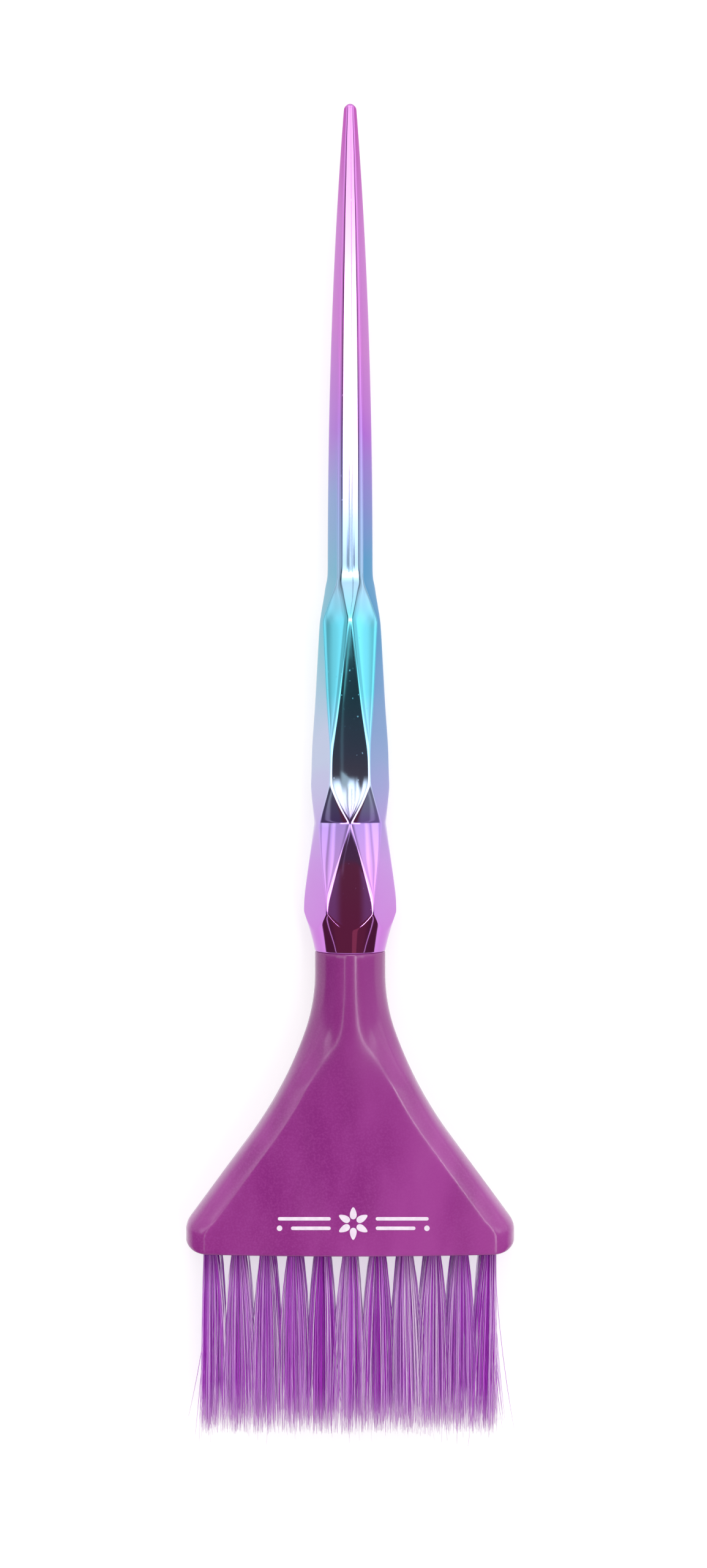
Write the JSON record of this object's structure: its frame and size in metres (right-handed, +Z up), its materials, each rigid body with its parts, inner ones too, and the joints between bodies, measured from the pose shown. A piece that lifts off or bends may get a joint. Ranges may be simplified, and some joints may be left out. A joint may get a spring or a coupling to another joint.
{
  "type": "tint brush",
  "caption": "Hair tint brush: slim pointed tail, faceted plated grip, and a flared flat head with rows of soft nylon bristle tufts for painting colour on hair.",
  "frame": {"origin": "on the surface the brush lies on, below the middle of its whole length and width", "axes": "+Y along the brush from the bristles to the end of the tail, +X across the head, +Z up from the back panel to the front panel"},
  "size_m": [0.0636, 0.2554, 0.0161],
  "materials": {
    "handle_plating": "moulded plastic with a mirror-bright plated skin, magenta at the tail through blue and teal to pink",
    "head_plastic": "glossy moulded purple plastic",
    "filament": "translucent purple nylon filament, feathered at the ends",
    "anchor_wire": "flat cut wire"
  },
  "bodies": {
    "root": {"handle": "handle_plating", "head": "head_plastic", "tuft_front_01": "filament", "tuft_front_02": "filament", "tuft_front_03": "filament", "tuft_front_04": "filament", "tuft_front_05": "filament", "tuft_front_06": "filament", "tuft_front_07": "filament", "tuft_front_08": "filament", "tuft_front_09": "filament", "tuft_front_10": "filament", "tuft_front_11": "filament", "tuft_middle_01": "filament", "tuft_middle_02": "filament", "tuft_middle_03": "filament", "tuft_middle_04": "filament", "tuft_middle_05": "filament", "tuft_middle_06": "filament", "tuft_middle_07": "filament", "tuft_middle_08": "filament", "tuft_middle_09": "filament", "tuft_middle_10": "filament", "tuft_middle_11": "filament", "tuft_back_01": "filament", "tuft_back_02": "filament", "tuft_back_03": "filament", "tuft_back_04": "filament", "tuft_back_05": "filament", "tuft_back_06": "filament", "tuft_back_07": "filament", "tuft_back_08": "filament", "tuft_back_09": "filament", "tuft_back_10": "filament", "tuft_back_11": "filament", "anchors_front": "anchor_wire", "anchors_middle": "anchor_wire", "anchors_back": "anchor_wire"}
  },
  "joints": []
}
